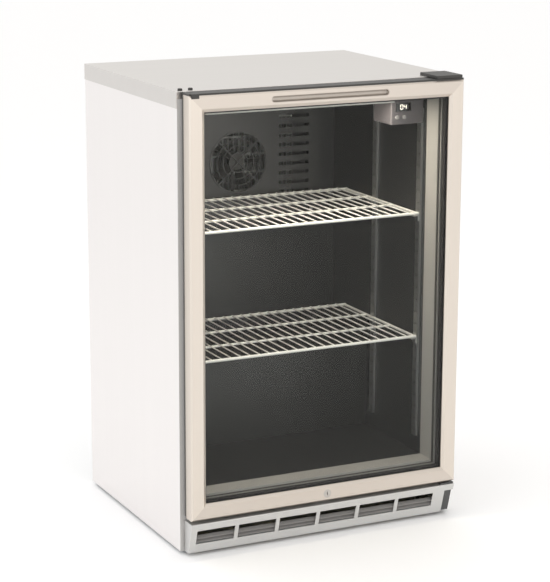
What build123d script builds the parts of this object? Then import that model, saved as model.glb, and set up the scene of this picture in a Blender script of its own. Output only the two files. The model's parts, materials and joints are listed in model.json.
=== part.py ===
"""Under-counter bottle fridge: one glass door hinged on the right, two wire shelves, plinth grille.

Frame: millimetres, +X to the right seen from the front, +Y to the back, +Z up.
The origin is on the floor, at the centre of the overall width and depth.
"""
import os
from math import cos, radians, sin

from build123d import *

# ---------------------------------------------------------------- overall sizes
WIDTH = 600.0            # cabinet, over the worktop's side lips
HEIGHT = 900.0           # floor to the worktop's upper face
DEPTH = 515.0            # door face to the worktop's rear lip
FLOOR_GAP = 6.0          # floor to the cabinet's underside

# ---------------------------------------------------------------- cabinet walls
SKIN = 1.2               # outer sheet metal
LINER_T = 1.5            # inner liner sheet
SIDE_WALL = 42.0         # outside to inside, each side
TOP_WALL = 42.0
BACK_WALL = 38.0
FLOOR_WALL = 40.0        # underside of the foam to the liner floor
CABIN_FLOOR_Z = 115.0
STEP_DEPTH = 197.5       # back of the cabinet to the riser over the machine bay
STEP_Z = 300.0           # top of the step inside the cabin
THROAT_DEPTH = 42.0      # plastic lining behind the front frame
THROAT_T = 3.0
FRAME_LEG = 16.0         # width of the front frame's legs beside the plinth
WORKTOP_T = 2.0
LIP = 32.0               # worktop's turned-down edge
LIP_T = 1.0
FRONT_LIP = 14.0
EDGE_ROUND = 0.9
PAN_T = 1.5
PAN_FLANGE = 12.0
REAR_RECESS = 10.0       # rear service panel, in from the back
GLAND_X = 268.0          # where the mains lead passes the rear service panel
GLAND_Z = 40.0
GLAND_R = 8.0
GLAND_L = 24.0
GLAND_FLANGE = (12.0, 3.0)
GLAND_NUT = (11.0, 4.0)
SERVICE_SLOT = (150.0, 5.0)
SERVICE_ROWS = 9
SERVICE_PITCH = 14.0

# ---------------------------------------------------------------- door
DOOR_T = 29.0
GASKET_GAP = 11.0        # door's back face to the cabinet's front frame
DOOR_SIDE_GAP = 8.0      # cabinet side to the door frame's side
DOOR_BOTTOM_Z = 77.0
DOOR_TOP_GAP = 4.5       # worktop's upper face down to the top rail
RAIL_W = 31.5            # rail width seen from the front
RAIL_T = 2.2
RAIL_BEVEL = 3.0
RAIL_SIDE = 27.0         # depth of the rail's outer wall
GLASS_INSET = 25.0       # door edge to the glass edge
GLASS_T = 4.0
GLASS_FRONT = 7.0        # door face to the outer pane
PANE_GAP = 10.0
SPACER_W = 9.0
INNER_FRAME_W = 35.0
RAIL_INNER_BEVEL = (6.0, 4.5)
GASKET_INSET = 22.0
GASKET_W = 11.5
GASKET_CLEAR = 0.3
GASKET_WAIST = 3.5
GASKET_FOOT = 2.0
FIN_INSET = 1.5          # the gasket's outer fin, seen beside the door
FIN_T = 2.5
FIN_REACH = 7.5
CAP_T = 3.5              # black cap over the top rail
CAP_REACH = 7.5          # how far the cap runs back past the door
CAP_END_GAP = 4.0
LUG_IN = 4.0             # the cap's turned-down tab near the free corner
LUG_W = 16.0
LUG_H = 5.5
GRIP_L = 250.0           # finger groove
GRIP_H = 12.5
GRIP_DEPTH = 8.0
GRIP_WALL = 1.0
GRIP_ROUND = 4.5
GRIP_INSET = 15.0        # top of the rail to the groove's centre line

# ---------------------------------------------------------------- hinge and lock
PIN_INSET = 12.5         # door frame's side to the pin's axis
PIN_R = 4.0
PIN_CLEAR = 0.05
BUSH_R = 6.0
COLLAR_R = 7.0
BUSH_DEPTH = 14.0
SEAT_GAP = 0.3
BRACKET_T = 3.0
TOP_BRACKET_T = 2.5
BRACKET_W = 54.0
BRACKET_SIDE = 13.0      # worktop's side to the top bracket
BRACKET_BACK = 28.0      # how far the top bracket runs back over the worktop
BRACKET_ROUND = 4.0
COVER_H = 5.5
COVER_WALL = 1.2
COVER_CLEAR = 0.5
COVER_ROUND = 3.0
LEG_TOP_Z = 78.0
LEG_GAP = 4.0            # plinth to the front frame, clear of the hinge bracket's leg
CHANNEL_T = 3.0          # the lower bracket's channel behind the plinth's notch
CHANNEL_SET = 5.0
PLUG_R = 4.5
PLUG_H = 4.0
PLUG_PLACES = ((12.0, 12.0), (33.0, 12.0))   # in from the worktop's side and front
LOCK_INSET = 15.0        # door's lower edge to the lock's centre
LOCK_R = 8.5
LOCK_PLUG_R = 5.5
LOCK_CLEAR = 0.05
LOCK_SLOT = (1.4, 7.0, 6.0)
CAM_L = 18.5
CAM_W = 8.0
CAM_HUB_R = 6.4
CAM_SIDE = 3.0           # room beside the cam in the gasket's notch
CAM_T = 2.0
CAM_GAP = 0.5
KEEPER_W = 28.0
KEEPER_T = 1.5
KEEPER_LIP = 4.0

# ---------------------------------------------------------------- plinth
PLINTH_TOP_Z = 70.0
PLINTH_BOTTOM_Z = 7.5
PLINTH_LEAN = 18.0       # how far the foot of the plinth is set back
PLINTH_T = 2.0
PLINTH_SIDE_GAP = 8.5
PLINTH_LIP = 8.0
VENTS = 6
VENT_W = 80.5
VENT_PITCH = 88.6
VENT_LOW_Z = 26.0
VENT_HIGH_Z = 55.0
VENT_MARGIN = 13.0       # plinth's left end to the first vent
END_NOTCH = 20.0         # dark pocket at the hinge end
END_NOTCH_TOP = 56.5
SLATS = 2
SLAT_LOW = 4.5           # vent's lower edge to the first slat's centre
SLAT_PITCH = 8.0
SLAT_T = 1.4
SLAT_W = 9.0
SLAT_TILT = 28.0
SLAT_GAP = 1.0
COMB = (2.0, 7.0, 3.0)

# ---------------------------------------------------------------- inside the cabin
SHELF_Z = {"shelf_lower": 362.0, "shelf_upper": 617.0}
SHELF_SIDE_GAP = 10.0    # liner to the shelf's side rod centre
SHELF_FRONT = 58.0       # front frame to the shelf's front rod
SHELF_DEPTH = 304.0
CROSS_RODS = (0.33, 0.67)
ROD_R = 3.0
SIDE_ROD_R = 2.8
CROSS_ROD_R = 2.5
WIRE_R = 1.5
WELD = 1.2               # how far a wire sinks into a rod at each weld
WIRE_END = 1.0           # wires end this far past the outer rods' centres
WIRES = 23
CLIP_CLEAR = 0.3
PILASTER_W = 16.0
PILASTER_D = 5.0
PILASTER_T = 1.2
PILASTER_Y = (64.0, 246.0)   # behind the front frame
PILASTER_LOW = 150.0
PILASTER_HIGH = 830.0
SLOT_PITCH = 25.0
SLOT = (8.0, 3.0)
CLIP_W = 12.0
CLIP_REACH = 12.0
CLIP_T = 3.0
CLIP_DROP = 12.0
LAMP_L = 400.0
LAMP_W = 26.0
LAMP_H = 6.0
LAMP_X = -36.0
LAMP_BACK = 7.0
LAMP_END = 6.0
LAMP_WALL = 3.0
LAMP_BELLY = 0.5         # how far the diffuser hangs below its housing
LAMP_ROUND = 2.0
CONTROL_W = 74.0
CONTROL_D = 70.0
CONTROL_H = 56.0
CONTROL_WALL = 2.0
CONTROL_BACK = 46.0
CONTROL_SIDE = 6.0
CONTROL_ROUND = 3.0
DISPLAY_X = (10.0, 46.0)
DISPLAY_Z = (25.0, 43.0)
DISPLAY_SET = 0.6
BUTTON_Z = 14.0
BUTTON_R = 4.0
BUTTON_PROUD = 1.8
BUTTON_CLEAR = 0.3
BUTTON_X = (14.0, 30.0)
BUTTON_ROUND = 0.8
BUTTON_FLANGE = (5.5, 1.2)
EVAP_W = 380.0
EVAP_D = 62.0
EVAP_LOW = 560.0
EVAP_HIGH = 845.0
EVAP_SHEET = 1.2
EVAP_SLOT = (70.0, 7.0)
EVAP_SLOT_X = 130.0
EVAP_SLOT_LOW = 60.0
EVAP_SLOT_PITCH = 20.0
EVAP_SLOT_ROWS = 9
GUARD_RINGS = (66.0, 50.0, 36.0, 22.0)
GUARD_W = 2.0
GUARD_BAR = 2.5
EVAP_COIL = (300.0, 11.0, 600.0, 830.0)      # width, depth, low and high
EVAP_FAN_SET = 6.0
EVAP_MOTOR_SET = 26.0
EVAP_MOTOR = (18.0, 20.0)                    # radius, length
EVAP_ARM = (70.0, 3.0, 6.0)
EVAP_POST = 68.0
SHAFT = (3.0, 4.0)
FAN_Z = 690.0
FAN_R = 56.0
FAN_HOLE_R = 62.0
HUB_R = 17.0
BLADES = 5
BLADE_T = 2.0
BLADE_PITCH = 32.0
BLADE_ROOT = 3.0
FAN_HUB_L = 16.0
FIN_PLATE_T = 1.0

# ---------------------------------------------------------------- machine bay
BAY_WALL = 40.0
COMP_X = 150.0
COMP_R = 60.0
COMP_H = 150.0
COMP_BACK = 76.0
COMP_LOW = 22.0
COMP_ROUNDS = (34.0, 14.0)                   # upper and lower edge
COMP_SEAM = (78.0, 4.0, 2.5)                 # height, width, how far it stands out
COMP_PLATE = (156.0, 76.0, 3.0)
COMP_SOCKET = (42.0, 11.0)
COMP_MOUNT = (66.0, 28.0)
COMP_MOUNT_R = 9.0
COMP_MOUNT_H = 14.0
TRAY = (160.0, 110.0, 22.0)
TRAY_WALL = 2.0
COND_X = -150.0
COND_W = 190.0
COND_D = 42.0
COND_LOW = 18.0
COND_HIGH = 190.0
COND_SET = 6.0           # foam to the coil
COND_FAN_R = 62.0
COND_FAN_SET = 3.0
SHROUD_T = 1.5
SHROUD_RING = (4.0, 1.5, 16.0)               # clearance, wall, depth
COND_MOTOR = (24.0, 24.0, 34.0)              # radius, set back, length
COND_ARM = (12.0, 6.0, 10.0, 3.0)            # past the fan, foot width, height, thickness
PIPE_R = 3.0
PIPE_BEND = 12.0
PIPE_Z = 110.0           # where the pipes leave the compressor
PIPE_OUT = 40.0
PIPE_HIGH_Z = 175.0
PIPE_TOP_Z = 225.0
DRIER_DROP = 20.0
DRIER = (10.0, 90.0, 5.0)                    # radius, length, rounding
FOOT_R = 16.0
FOOT_T = 5.0
STEM_R = 4.0
STEM_CLEAR = 0.3
STEM_H = 30.0
FOOT_IN = (45.0, 45.0)
FOOT_BEVEL = 1.5
SCREW_R = 3.5
SCREW_H = 2.0
FLAT_SCREW = (3.0, 0.9)
COVERED_SCREW = (3.5, 1.1)
LEG_SCREW = (2.2, 1.2)

# ---------------------------------------------------------------- planes worked out from those
HALF = WIDTH / 2
FRONT_Y = -DEPTH / 2
BACK_Y = DEPTH / 2
DOOR_BACK_Y = FRONT_Y + DOOR_T
CAB_Y = DOOR_BACK_Y + GASKET_GAP
PANEL_X = HALF - LIP_T                   # outer face of the side panels
PANEL_IN_X = PANEL_X - SKIN
PANEL_BACK_Y = BACK_Y - LIP_T
UNDER_TOP_Z = HEIGHT - WORKTOP_T
CABIN_X = HALF - SIDE_WALL
CABIN_TOP_Z = HEIGHT - TOP_WALL
CABIN_BACK_Y = BACK_Y - BACK_WALL
FOAM_LOW_Z = CABIN_FLOOR_Z - FLOOR_WALL
STEP_Y = BACK_Y - STEP_DEPTH
BAY_Y = STEP_Y + BAY_WALL
BAY_TOP_Z = STEP_Z - BAY_WALL
THROAT_Y = CAB_Y + SKIN
LINER_Y = THROAT_Y + THROAT_DEPTH
PAN_TOP_Z = FLOOR_GAP + PAN_T
DOOR_X = HALF - DOOR_SIDE_GAP
DOOR_TOP_Z = HEIGHT - DOOR_TOP_GAP
PIN_X = DOOR_X - PIN_INSET
PIN_Y = FRONT_Y + DOOR_T / 2
LOCK_Z = DOOR_BOTTOM_Z + LOCK_INSET
GRIP_Z = DOOR_TOP_Z - GRIP_INSET
PLINTH_X = HALF - PLINTH_SIDE_GAP
PLINTH_Y = FRONT_Y + 0.5
PLINTH_FOOT_Y = PLINTH_Y + PLINTH_LEAN
SHELF_X = CABIN_X - SHELF_SIDE_GAP
EVAP_Y = CABIN_BACK_Y - EVAP_D
COMP_Y = PANEL_BACK_Y - COMP_BACK
SERVICE_Y = PANEL_BACK_Y - REAR_RECESS
COND_Y = BAY_Y + COND_SET
COND_X0 = COND_X - COND_W / 2
COND_X1 = COND_X + COND_W / 2
COND_Z = (COND_LOW + COND_HIGH) / 2
SHROUD_Y = COND_Y + COND_D
GLASS_BACK = GLASS_FRONT + 2 * GLASS_T + PANE_GAP
RAIL_SECTION = [                         # in from the door's edge, back from the door's face
    (0, RAIL_SIDE), (0, RAIL_BEVEL), (RAIL_BEVEL, 0), (RAIL_W - RAIL_INNER_BEVEL[0], 0),
    (RAIL_W, RAIL_INNER_BEVEL[1]), (RAIL_W, GLASS_FRONT), (RAIL_W - RAIL_T, GLASS_FRONT),
    (RAIL_W - RAIL_T, RAIL_INNER_BEVEL[1] + 1.1), (RAIL_W - RAIL_INNER_BEVEL[0] - 0.7, RAIL_T),
    (RAIL_BEVEL + 0.9, RAIL_T), (RAIL_T, RAIL_BEVEL + 0.9), (RAIL_T, RAIL_SIDE)]


# ---------------------------------------------------------------- shape helpers
def block(x0, x1, y0, y1, z0, z1):
    """A box between two corners."""
    return Pos((x0 + x1) / 2, (y0 + y1) / 2, (z0 + z1) / 2) * Box(x1 - x0, y1 - y0, z1 - z0)


def rod_x(x0, x1, y, z, radius):
    return Pos((x0 + x1) / 2, y, z) * Rot(0, 90, 0) * Cylinder(radius, x1 - x0)


def rod_y(x, y0, y1, z, radius):
    return Pos(x, (y0 + y1) / 2, z) * Rot(90, 0, 0) * Cylinder(radius, y1 - y0)


def rod_z(x, y, z0, z1, radius):
    return Pos(x, y, (z0 + z1) / 2) * Cylinder(radius, z1 - z0)


def prism(points, travel):
    """A flat polygon given by points in space, pulled along the travel vector."""
    face = Face(Wire.make_polygon([Vector(*point) for point in points], close=True))
    return Solid.extrude(face, Vector(*travel))


def profile_x(outline, x0, x1):
    """An outline of (y, z) points pulled along X."""
    return prism([(x0, y, z) for y, z in outline], (x1 - x0, 0, 0))


def stadium(length, height, y0, y1, z):
    """A slot-shaped bar with round ends, centred on X = 0, pulled along Y."""
    outline = Plane(origin=(0, y1, z), x_dir=(1, 0, 0), z_dir=(0, -1, 0)) * SlotOverall(length, height)
    return extrude(outline, y1 - y0)


def frame_side(section, side):
    """One mitred side of the door: section holds (in from the edge, back from the door face)."""
    reach = max(u for u, v in section)
    deep = max(v for u, v in section) + 1
    low, high = DOOR_BOTTOM_Z, DOOR_TOP_Z
    if side in ("bottom", "top"):
        edge, way = (low, 1) if side == "bottom" else (high, -1)
        bar = prism([(-DOOR_X, FRONT_Y + v, edge + way * u) for u, v in section], (2 * DOOR_X, 0, 0))
        corners = [(-DOOR_X, edge), (DOOR_X, edge)]
        corners += [(DOOR_X - reach, edge + way * reach), (reach - DOOR_X, edge + way * reach)]
    else:
        edge, way = (-DOOR_X, 1) if side == "left" else (DOOR_X, -1)
        bar = prism([(edge + way * u, FRONT_Y + v, low) for u, v in section], (0, 0, high - low))
        corners = [(edge, low), (edge, high)]
        corners += [(edge + way * reach, high - reach), (edge + way * reach, low + reach)]
    mitre = prism([(x, FRONT_Y - 1, z) for x, z in corners], (0, deep + 1, 0))
    return bar & mitre


def frame_ring(section):
    """Four mitred sides joined into one ring."""
    bottom, top, left, right = (frame_side(section, side) for side in ("bottom", "top", "left", "right"))
    return bottom + top + left + right


def rotor(y0, hub_depth, radius, z, x=0.0):
    """A small axial fan wheel, its axis along Y."""
    wheel = rod_y(x, y0, y0 + hub_depth, z, HUB_R)
    blade_l = radius - HUB_R + BLADE_ROOT
    blade = Box(blade_l, BLADE_T, hub_depth * 1.25)
    blade = Pos(HUB_R - BLADE_ROOT + blade_l / 2, 0, 0) * Rot(90 - BLADE_PITCH, 0, 0) * blade
    centre = Pos(x, y0 + hub_depth / 2, z)
    blades = [centre * Rot(0, turn * 360 / BLADES, 0) * blade for turn in range(BLADES)]
    return wheel + blades


def fin_coil(x0, x1, y0, y1, z0, z1, fins, rows):
    """A finned heat exchanger: upright fins on straight tubes."""
    pitch = (x1 - x0 - FIN_PLATE_T) / (fins - 1)
    edges = [x0 + n * pitch for n in range(fins)]
    plates = [block(x, x + FIN_PLATE_T, y0, y1, z0, z1) for x in edges]
    gap = (z1 - z0) / rows
    tubes = [rod_x(x0, x1, (y0 + y1) / 2, z0 + (n + 0.5) * gap, PIPE_R) for n in range(rows)]
    return plates[0] + plates[1:] + tubes


def group(shapes):
    """Several separate solids kept in one node."""
    return Compound(children=list(shapes))


# ---------------------------------------------------------------- cabinet shell
def make_worktop():
    body = block(-HALF, HALF, CAB_Y, BACK_Y, HEIGHT - LIP, HEIGHT)
    body -= block(-HALF + LIP_T, HALF - LIP_T, CAB_Y + LIP_T, BACK_Y - LIP_T, 0, UNDER_TOP_Z)
    body -= block(-HALF + LIP_T, HALF - LIP_T, CAB_Y - 1, CAB_Y + LIP_T, 0, HEIGHT - FRONT_LIP)
    rim = body.edges().filter_by_position(Axis.Z, HEIGHT - 0.1, HEIGHT + 0.1)
    return fillet(rim, EDGE_ROUND)


def make_side_panel(side):
    x0, x1 = sorted((side * PANEL_IN_X, side * PANEL_X))
    return block(x0, x1, THROAT_Y, PANEL_BACK_Y, FLOOR_GAP, UNDER_TOP_Z)


def make_back_panel():
    return block(-PANEL_IN_X, PANEL_IN_X, PANEL_BACK_Y - SKIN, PANEL_BACK_Y, BAY_TOP_Z, UNDER_TOP_Z)


def make_rear_service_panel():
    panel = block(-PANEL_IN_X, PANEL_IN_X, SERVICE_Y - SKIN, SERVICE_Y, PAN_TOP_Z, BAY_TOP_Z)
    long, high = SERVICE_SLOT
    low = (PAN_TOP_Z + BAY_TOP_Z - (SERVICE_ROWS - 1) * SERVICE_PITCH) / 2
    slot = Box(long, 4 * SKIN, high)
    for x in (COND_X, COMP_X - 10):
        for row in range(SERVICE_ROWS):
            panel -= Pos(x, SERVICE_Y, low + row * SERVICE_PITCH) * slot
    return panel - rod_y(GLAND_X, SERVICE_Y - SKIN - 1, SERVICE_Y + 1, GLAND_Z, GLAND_R)


def make_mains_gland():
    tail = SERVICE_Y + REAR_RECESS - 1
    gland = rod_y(GLAND_X, tail - GLAND_L, tail, GLAND_Z, GLAND_R)
    gland += rod_y(GLAND_X, SERVICE_Y, SERVICE_Y + GLAND_FLANGE[1], GLAND_Z, GLAND_FLANGE[0])
    inside = SERVICE_Y - SKIN
    gland += rod_y(GLAND_X, inside - GLAND_NUT[1], inside, GLAND_Z, GLAND_NUT[0])
    return gland - rod_y(GLAND_X, tail - GLAND_L - 1, tail + 1, GLAND_Z, GLAND_R / 2)


def foot_places():
    front, rear = CAB_Y + FOOT_IN[1], BACK_Y - FOOT_IN[1]
    x = HALF - FOOT_IN[0]
    return {"foot_front_left": (-x, front), "foot_front_right": (x, front),
            "foot_rear_left": (-x, rear), "foot_rear_right": (x, rear)}


def make_base_pan():
    y0, y1 = THROAT_Y, SERVICE_Y - SKIN
    pan = block(-PANEL_IN_X, PANEL_IN_X, y0, y1, FLOOR_GAP, PAN_TOP_Z)
    pan += block(-PANEL_IN_X, PANEL_IN_X, y0, y0 + PAN_T, FLOOR_GAP, FLOOR_GAP + PAN_FLANGE)
    for x, y in foot_places().values():
        pan += rod_z(x, y, FLOOR_GAP, FLOOR_GAP + PAN_FLANGE, STEM_R * 2)
        pan -= rod_z(x, y, 0, STEM_H, STEM_R + STEM_CLEAR)
    return pan


def make_foot(place):
    x, y = place
    pad = rod_z(x, y, 0, FOOT_T, FOOT_R)
    pad = chamfer(pad.edges().filter_by_position(Axis.Z, FOOT_T - 0.1, FOOT_T + 0.1), FOOT_BEVEL)
    return pad + rod_z(x, y, FOOT_T, STEM_H, STEM_R)


def make_front_frame():
    """Flat frame round the cabin's mouth, with a leg at each side down to the base."""
    body = block(-PANEL_X, PANEL_X, CAB_Y, THROAT_Y, FLOOR_GAP, HEIGHT - FRONT_LIP)
    body -= block(-CABIN_X, CABIN_X, CAB_Y - 1, THROAT_Y + 1, CABIN_FLOOR_Z, CABIN_TOP_Z)
    leg_x = PANEL_X - FRAME_LEG
    return body - block(-leg_x, leg_x, CAB_Y - 1, THROAT_Y + 1, 0, FOAM_LOW_Z - 2)


def make_throat_frame():
    outer = block(-CABIN_X - THROAT_T, CABIN_X + THROAT_T, THROAT_Y, LINER_Y,
                  CABIN_FLOOR_Z - THROAT_T, CABIN_TOP_Z + THROAT_T)
    return outer - block(-CABIN_X, CABIN_X, THROAT_Y - 1, LINER_Y + 1, CABIN_FLOOR_Z, CABIN_TOP_Z)


def make_liner_walls():
    walls = []
    for x0 in (-CABIN_X - LINER_T, CABIN_X):
        wall = block(x0, x0 + LINER_T, LINER_Y, CABIN_BACK_Y, CABIN_FLOOR_Z, CABIN_TOP_Z)
        walls.append(wall - block(x0 - 1, x0 + LINER_T + 1, STEP_Y, BACK_Y, 0, STEP_Z))
    walls.append(block(-CABIN_X, CABIN_X, CABIN_BACK_Y, CABIN_BACK_Y + LINER_T, STEP_Z, CABIN_TOP_Z))
    walls.append(block(-CABIN_X, CABIN_X, LINER_Y, CABIN_BACK_Y, CABIN_TOP_Z, CABIN_TOP_Z + LINER_T))
    return group(walls)


def make_liner_floor():
    """Floor, riser and the top of the step over the machine bay, as three sheets."""
    floor = block(-CABIN_X, CABIN_X, LINER_Y, STEP_Y, CABIN_FLOOR_Z - LINER_T, CABIN_FLOOR_Z)
    riser = block(-CABIN_X, CABIN_X, STEP_Y, STEP_Y + LINER_T, CABIN_FLOOR_Z - LINER_T, STEP_Z)
    step = block(-CABIN_X, CABIN_X, STEP_Y + LINER_T, CABIN_BACK_Y, STEP_Z - LINER_T, STEP_Z)
    return group([floor, riser, step])


def make_insulation():
    foam = block(-PANEL_IN_X, PANEL_IN_X, THROAT_Y, PANEL_BACK_Y - SKIN, FOAM_LOW_Z, UNDER_TOP_Z)
    cabin = block(-CABIN_X - LINER_T, CABIN_X + LINER_T, THROAT_Y - 1, CABIN_BACK_Y + LINER_T,
                  CABIN_FLOOR_Z - LINER_T, CABIN_TOP_Z + LINER_T)
    cabin -= block(-HALF, HALF, STEP_Y + LINER_T, BACK_Y, 0, STEP_Z - LINER_T)
    foam -= cabin
    foam -= block(-CABIN_X - THROAT_T, CABIN_X + THROAT_T, THROAT_Y - 1, LINER_Y,
                  CABIN_FLOOR_Z - THROAT_T, CABIN_TOP_Z + THROAT_T)
    return foam - block(-HALF, HALF, BAY_Y, BACK_Y, 0, BAY_TOP_Z)


# ---------------------------------------------------------------- shelves and their supports
def pilaster_places():
    return [(side, CAB_Y + back) for side in (-1, 1) for back in PILASTER_Y]


def make_pilaster(side, y):
    """A slotted channel with its web standing off the liner wall."""
    x_in = CABIN_X - PILASTER_D
    half, low, high = PILASTER_W / 2, PILASTER_LOW, PILASTER_HIGH
    web = block(x_in, x_in + PILASTER_T, y - half, y + half, low, high)
    for edge in (y - half, y + half - PILASTER_T):
        web += block(x_in, CABIN_X, edge, edge + PILASTER_T, low, high)
    count = int((high - low) / SLOT_PITCH)
    slot = Box(4 * PILASTER_T, *SLOT)
    web = web - [Pos(x_in, y, low + (n + 0.5) * SLOT_PITCH) * slot for n in range(count)]
    return web if side > 0 else mirror(web, Plane.YZ)


def make_shelf_pilasters():
    return group(make_pilaster(side, y) for side, y in pilaster_places())


def make_shelf_clips():
    """Bent clips hooked on the pilasters; each shelf's side rods rest on four of them."""
    clips = []
    x_in = CABIN_X - PILASTER_D
    for level in SHELF_Z.values():
        top = level - ROD_R - CLIP_CLEAR
        for side, y in pilaster_places():
            y0, y1 = y - CLIP_W / 2, y + CLIP_W / 2
            clip = block(x_in - CLIP_REACH, x_in, y0, y1, top - CLIP_T, top)
            clip += block(x_in - CLIP_T, x_in, y0, y1, top - CLIP_DROP, top)
            clips.append(clip if side > 0 else mirror(clip, Plane.YZ))
    return group(clips)


def make_shelf(level):
    """Welded wire shelf: rod frame, two cross rods underneath, wires from front to back."""
    y0, y1 = CAB_Y + SHELF_FRONT, CAB_Y + SHELF_FRONT + SHELF_DEPTH
    x = SHELF_X
    rods = [rod_x(-x - ROD_R, x + ROD_R, y, level, ROD_R) for y in (y0, y1)]
    rods += [rod_y(side * x, y0, y1, level, SIDE_ROD_R) for side in (-1, 1)]
    cross = [rod_x(-x, x, y0 + SHELF_DEPTH * share, level, CROSS_ROD_R) for share in CROSS_RODS]
    pitch = 2 * x / (WIRES + 1)
    lift = ROD_R + WIRE_R - WELD
    wires = [rod_y(-x + n * pitch, y0 - WIRE_END, y1 + WIRE_END, level + lift, WIRE_R)
             for n in range(1, WIRES + 1)]
    return rods[0] + rods[1:] + cross + wires


# ---------------------------------------------------------------- lamp, controls, evaporator
def lamp_box():
    """Left, right, front and back of the lamp's housing."""
    y0 = THROAT_Y + LAMP_BACK
    return LAMP_X - LAMP_L / 2, LAMP_X + LAMP_L / 2, y0, y0 + LAMP_W


def make_lamp_housing():
    x0, x1, y0, y1 = lamp_box()
    low, wall = CABIN_TOP_Z - LAMP_H, LAMP_WALL
    body = block(x0, x1, y0, y1, low, CABIN_TOP_Z)
    inside = block(x0 + LAMP_END, x1 - LAMP_END, y0 + wall, y1 - wall, low - 1, CABIN_TOP_Z - wall)
    return body - inside


def make_lamp_diffuser():
    x0, x1, y0, y1 = lamp_box()
    low, wall = CABIN_TOP_Z - LAMP_H - LAMP_BELLY, LAMP_WALL
    body = block(x0 + LAMP_END, x1 - LAMP_END, y0 + wall, y1 - wall, low, CABIN_TOP_Z - wall - 1)
    rim = body.edges().filter_by(Axis.X).filter_by_position(Axis.Z, low - 0.1, low + 0.1)
    return fillet(rim, LAMP_ROUND)


def control_box():
    x1 = CABIN_X - CONTROL_SIDE
    y0 = CAB_Y + CONTROL_BACK
    return x1 - CONTROL_W, x1, y0, y0 + CONTROL_D, CABIN_TOP_Z - CONTROL_H, CABIN_TOP_Z


def display_block(y0, y1):
    """The display's outline on the controller's front, between two depths."""
    x, z = control_box()[0], control_box()[4]
    return block(x + DISPLAY_X[0], x + DISPLAY_X[1], y0, y1, z + DISPLAY_Z[0], z + DISPLAY_Z[1])


def button_places():
    x, z = control_box()[0], control_box()[4]
    names = zip(("down", "up"), BUTTON_X)
    return {f"controller_button_{name}": (x + dx, z + BUTTON_Z) for name, dx in names}


def make_controller_housing():
    x0, x1, y0, y1, z0, z1 = control_box()
    body = block(x0, x1, y0, y1, z0, z1)
    front = body.edges().filter_by(Axis.Z).filter_by_position(Axis.Y, y0 - 1, y0 + 1)
    body = fillet(front, CONTROL_ROUND)
    w = CONTROL_WALL
    body -= block(x0 + w, x1 - w, y0 + w, y1 - w, z0 + w, z1 + 1)
    for x, z in button_places().values():
        body -= rod_y(x, y0 - 1, y0 + w + 1, z, BUTTON_R + BUTTON_CLEAR)
    return body - display_block(y0 - 1, y0 + w + 1)


def make_controller_display():
    y0 = control_box()[2]
    return display_block(y0 + DISPLAY_SET, y0 + 2 * CONTROL_WALL)


def make_button(place):
    x, z = place
    y0 = control_box()[2]
    front, inside = y0 - BUTTON_PROUD, y0 + CONTROL_WALL + 2
    cap = rod_y(x, front, inside, z, BUTTON_R)
    cap = fillet(cap.edges().filter_by_position(Axis.Y, front - 0.1, front + 0.1), BUTTON_ROUND)
    return cap + rod_y(x, inside, inside + BUTTON_FLANGE[1], z, BUTTON_FLANGE[0])


def make_evaporator_cover():
    x, t = EVAP_W / 2, EVAP_SHEET
    cover = block(-x, x, EVAP_Y, EVAP_Y + t, EVAP_LOW, EVAP_HIGH)
    for x0 in (-x, x - t):
        cover += block(x0, x0 + t, EVAP_Y, CABIN_BACK_Y, EVAP_LOW, EVAP_HIGH)
    cover += block(-x, x, EVAP_Y, CABIN_BACK_Y, EVAP_LOW, EVAP_LOW + t)
    cover += block(-x, x, EVAP_Y, CABIN_BACK_Y, EVAP_HIGH - t, EVAP_HIGH)
    cover -= rod_y(0, EVAP_Y - 1, EVAP_Y + t + 1, FAN_Z, FAN_HOLE_R)
    slot = Box(EVAP_SLOT[0], 4 * t, EVAP_SLOT[1])
    for side in (-1, 1):
        for row in range(EVAP_SLOT_ROWS):
            z = EVAP_LOW + EVAP_SLOT_LOW + row * EVAP_SLOT_PITCH
            cover -= Pos(side * EVAP_SLOT_X, EVAP_Y, z) * slot
    return cover + fan_guard(EVAP_Y - GUARD_W, EVAP_Y + t)


def fan_guard(y0, y1):
    """Rings and bars across the fan's hole."""
    rings = [rod_y(0, y0, y1, FAN_Z, r) - rod_y(0, y0 - 1, y1 + 1, FAN_Z, r - GUARD_W)
             for r in GUARD_RINGS]
    bar = Box(2 * FAN_HOLE_R + 5, y1 - y0, GUARD_BAR)
    bars = [Pos(0, (y0 + y1) / 2, FAN_Z) * Rot(0, turn, 0) * bar for turn in (45, 135)]
    return rings[0] + rings[1:] + bars


def make_evaporator_fan_motor():
    y0 = EVAP_Y + EVAP_MOTOR_SET
    radius, length = EVAP_MOTOR
    motor = rod_y(0, y0, y0 + length, FAN_Z, radius) + rod_y(0, y0 - SHAFT[1], y0, FAN_Z, SHAFT[0])
    for turn in (90, 210, 330):
        arm = Pos(0, y0 + SHAFT[1], FAN_Z) * Rot(0, turn, 0) * Pos(EVAP_ARM[0] / 2, 0, 0)
        motor += arm * Box(*EVAP_ARM)
        x = EVAP_POST * cos(radians(turn))
        z = FAN_Z - EVAP_POST * sin(radians(turn))
        motor += rod_y(x, EVAP_Y + EVAP_SHEET, y0 + SHAFT[1] + 1, z, SHAFT[0])
    return motor


def make_evaporator_coil():
    width, depth, low, high = EVAP_COIL
    y1 = CABIN_BACK_Y - 1
    return fin_coil(-width / 2, width / 2, y1 - depth, y1, low, high, 25, 6)


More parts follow.
